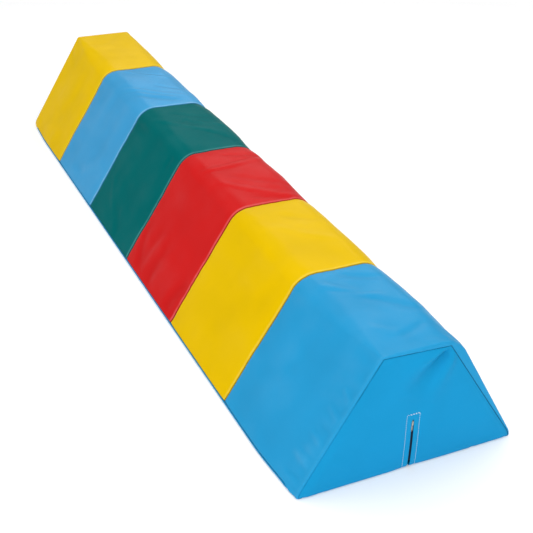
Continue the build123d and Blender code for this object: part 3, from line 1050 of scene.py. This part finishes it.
def add_stitches(name, node, paths, length, gap, radius, material, slot):
    """Rows of sewn stitches: each path is (points, outward normals) along one seam."""
    tube = tube_faces(STITCH_RINGS, STITCH_SIDES)
    arch, swell = STITCH_ARCH[:, None] * radius, STITCH_SWELL[:, None, None] * radius
    vertices, faces = [], []
    for points, normals in paths:
        steps = np.linalg.norm(np.diff(points, axis=0), axis=1)
        travel = np.concatenate([[0], np.cumsum(steps)])
        count = max(1, int(travel[-1] // (length + gap)))
        pitch = travel[-1] / count
        for k in range(count):
            middle = (k + 0.5) * pitch
            spans = middle + np.linspace(-0.5, 0.5, STITCH_RINGS) * (pitch - gap)
            centre = np.column_stack([np.interp(spans, travel, points[:, a]) for a in range(3)])
            up = np.column_stack([np.interp(spans, travel, normals[:, a]) for a in range(3)])
            up /= np.linalg.norm(up, axis=1)[:, None]
            ahead = centre[-1] - centre[0]
            ahead /= np.linalg.norm(ahead)
            side = np.cross(ahead, up)
            faces += [[len(vertices) + corner for corner in face] for face in tube]
            vertices.extend(tube_points(centre + up * arch, side, up, STITCH_SIDES, swell).reshape(-1, 3))
    piece = add_mesh(name, np.array(vertices), faces, material)
    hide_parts(node)


def strip_line(across, rows):
    """Points and outward normals on the strip at one distance across, over some of its rows."""
    points, normals = [], []
    for zone, value in rows:
        x = np.array([float(across)])
        relief = panel_relief(zone, value, x) - (BASE_STITCH_DEPTH if zone == "base" else 0.0)
        height = slanted(zone, value, x)
        here = strip_place(zone, height, x, -relief)[0]
        out = strip_place(zone, height, x, -relief - 1.0)[0]
        points.append(here)
        normals.append(out - here)
    return np.array(points), np.array(normals)


def zip_box_paths():
    """The box of stitching round the zip, with a second short row across its top."""
    rows = [("near", STITCH_TOP - d) for d in np.arange(0, STITCH_TOP - FOLD, 2.0)]
    rows += [("near_fold", math.pi / 2 * k / 8) for k in range(9)]
    rows += [("base", y) for y in np.linspace(NEAR + FOLD + 1, STITCH_FAR, 300)]
    sides = [strip_line(side * STITCH_X, rows) for side in (-1, 1)]
    crossings = (
        (-STITCH_X, 12, "near", STITCH_TOP),
        (-STITCH_X, 12, "base", STITCH_FAR),
        (-STITCH_X * 0.55, 10, "near", STITCH_TOP - 0.9),
    )
    for left, count, *row in crossings:
        line = [strip_line(x, [row]) for x in np.linspace(left, STITCH_X, count)]
        sides.append(tuple(np.concatenate(part) for part in zip(*line)))
    return sides


def band_seam_paths():
    """Along each seam between two bands, down inside its groove."""
    paths = []
    for seam in SEAMS:
        points, normals, _ = section(form_at(seam), BAND_BOTTOM + 3)
        line = at_y(points - normals * SEAM_THREAD_DEPTH, seam)
        paths.append((line[BETWEEN_FEET], at_y(normals, 0.0)[BETWEEN_FEET]))
    return paths


def end_seam_paths():
    paths = []
    for seam_form, end, into in ((NEAR_SEAM, NEAR, 1), (FAR_SEAM, FAR, -1)):
        points, _, _ = section(seam_form, 6.0)
        line = at_y(points[BETWEEN_FEET], end + into * END_THREAD_DEPTH)
        paths.append((line, np.tile([0.0, -into, 0.0], (len(line), 1))))
    return paths


def base_seam_paths():
    paths = []
    stations = np.linspace(NEAR + LIP_REACH[1], FAR - LIP_REACH[1], 300)
    for side in (-1, 1):
        half = np.array([form_at(y)["base"][0] for y in stations])
        x = side * (half - 0.6 * LIP_TOP - 1.4)
        line = np.column_stack([x, stations, np.full(len(stations), (LIP_TOP + BAND_BOTTOM) / 2)])
        paths.append((line, np.tile([side * 0.85, 0.0, 0.5], (len(line), 1))))
    return paths


add_stitches("zip_box_stitches", "zip_stitching", zip_box_paths(), *ZIP_STITCH, THREAD_WHITE, "white_thread")
for seam, paths in (("band", band_seam_paths()), ("end", end_seam_paths()), ("base", base_seam_paths())):
    names = f"{seam}_seam_stitches", f"{seam}_seam_threads"
    add_stitches(*names, paths, *SEAM_STITCH, THREAD_DARK, "seam_thread")

# ---- zip coils
COIL_PITCH = 1.4
COIL_WIRE = 0.3
COIL_TURN_POINTS = 10
COIL_SIDES = 5
COIL_REACH = 0.45


def bend_along_zip(travel, across, depth, top, middle_depth):
    """Maps distance along the zip from its top, down the end, round the fold and along the base."""
    straight = top - FOLD
    arc_radius = FOLD - middle_depth
    turned = np.clip((travel - straight) / arc_radius, 0, math.pi / 2)
    beyond = np.clip(travel - straight - arc_radius * math.pi / 2, 0, None)
    radius = FOLD - depth
    y = NEAR + FOLD - radius * np.cos(turned) + beyond
    z = FOLD - radius * np.sin(turned) + np.clip(straight - travel, 0, None)
    return np.stack([across, y, z], axis=-1)


def build_coil(node, side, phase):
    """One half of the zip's chain: a wire wound in flat turns along the tape's edge."""
    low, high = cad_box(node)
    outer = max(abs(low[0]), abs(high[0])) - COIL_WIRE
    inner = -COIL_REACH
    middle_depth = low[1] - NEAR + 1.0
    swing = 1.0 - COIL_WIRE
    top = high[2] - COIL_WIRE
    length = (top - FOLD) + (FOLD - middle_depth) * math.pi / 2 + (high[1] - NEAR - FOLD) - COIL_WIRE
    turns = int(length / COIL_PITCH)
    angle = np.arange(turns * COIL_TURN_POINTS) * 2 * math.pi / COIL_TURN_POINTS
    travel = COIL_PITCH * (angle / (2 * math.pi) + phase)
    keep = travel < length
    angle, travel = angle[keep], travel[keep]
    across = side * ((outer + inner) / 2 - (outer - inner) / 2 * np.cos(angle))
    depth = middle_depth - swing * np.sin(angle)
    centre = bend_along_zip(travel, across, depth, top, middle_depth)
    ahead = np.gradient(centre, axis=0)
    ahead /= np.linalg.norm(ahead, axis=1)[:, None]
    axis = np.zeros_like(across), np.full_like(depth, middle_depth), top, middle_depth
    line = bend_along_zip(travel + 0.5, *axis) - bend_along_zip(travel - 0.5, *axis)
    first = np.cross(ahead, line)
    first /= np.linalg.norm(first, axis=1)[:, None]
    second = np.cross(ahead, first)
    rings = tube_points(centre, first, second, COIL_SIDES, COIL_WIRE)
    faces = tube_faces(len(rings), COIL_SIDES)
    piece = add_mesh(f"{node}_teeth", rings.reshape(-1, 3), faces, COIL)
    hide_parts(node)


build_coil("zip_coil_left", -1, 0.0)
build_coil("zip_coil_right", 1, 0.5)


def dress(node, material):
    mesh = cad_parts[node].data
    mesh.materials.clear()
    mesh.materials.append(material)


for tape in ("zip_tape_left", "zip_tape_right"):
    dress(tape, TAPE)
for part in ("zip_slider", "zip_top_stops", "zip_bottom_stop"):
    dress(part, SLIDER_METAL)
dress("zip_pull", PULL_METAL)

# ---- stage and lights
FLOOR_SIZE = 30.0
FLOOR_DROP = 0.0004
FLOOR_GLOW_REACH = (2.0, 6.0)
FLOOR_GLOW = (0.08, 0.75)
FILL_STRENGTH = 0.45


def build_floor():
    """A pale floor just under the beam that glows a little far away, so that no horizon shows."""
    mesh = bpy.data.meshes.new("floor")
    half = FLOOR_SIZE / 2
    corners = ((-half, -half), (half, -half), (half, half), (-half, half))
    mesh.from_pydata([(x, y, -FLOOR_DROP) for x, y in corners], [], [(0, 1, 2, 3)])
    floor = add_object("floor", mesh)
    material, tree, place = new_material("floor_paper")
    reach = tree.nodes.new("ShaderNodeVectorMath")
    reach.operation = "LENGTH"
    fill(tree, reach, {0: place})
    finish(material, {
        "Base Color": (0.97, 0.97, 0.97, 1),
        "Roughness": 0.9,
        "Specular IOR Level": 0.1,
        "Emission Color": (1, 1, 1, 1),
        "Emission Strength": ramp(tree, reach.outputs["Value"], *FLOOR_GLOW_REACH, *FLOOR_GLOW),
    })
    mesh.materials.append(material)


def add_light(name, place, target, size, power, sheen_only=False):
    data = bpy.data.lights.new(name, "AREA")
    data.shape = "RECTANGLE"
    data.size, data.size_y = size
    data.energy = power
    light = add_object(name, data)
    direction = Vector(target) - Vector(place)
    light.location = place
    light.rotation_euler = direction.to_track_quat("-Z", "Y").to_euler()
    light.visible_diffuse = not sheen_only


def build_lights():
    """Even light from all round, seen as white, and three softboxes; the back one gives gloss only."""
    world = bpy.data.worlds.new("studio")
    world.use_nodes = True
    tree = world.node_tree
    seen = tree.nodes.new("ShaderNodeLightPath").outputs["Is Camera Ray"]
    strength = ramp(tree, seen, 0, 1, FILL_STRENGTH, 1.0)
    fill(tree, tree.nodes["Background"], {"Color": (1, 1, 1, 1), "Strength": strength})
    bpy.context.scene.world = world
    add_light("top_softbox", (0.2, -0.1, 3.6), (0, -0.1, 0.0), (5.5, 5.5), 127)
    add_light("back_softbox", (1.65, 3.0, 2.2), (0, 0.0, 0.2), (2.4, 1.2), 44, sheen_only=True)
    add_light("front_softbox", (-1.9, -3.4, 1.5), (0, -0.2, 0.1), (3.2, 2.2), 54)


build_floor()
build_lights()
bpy.context.scene.view_settings.view_transform = "Standard"
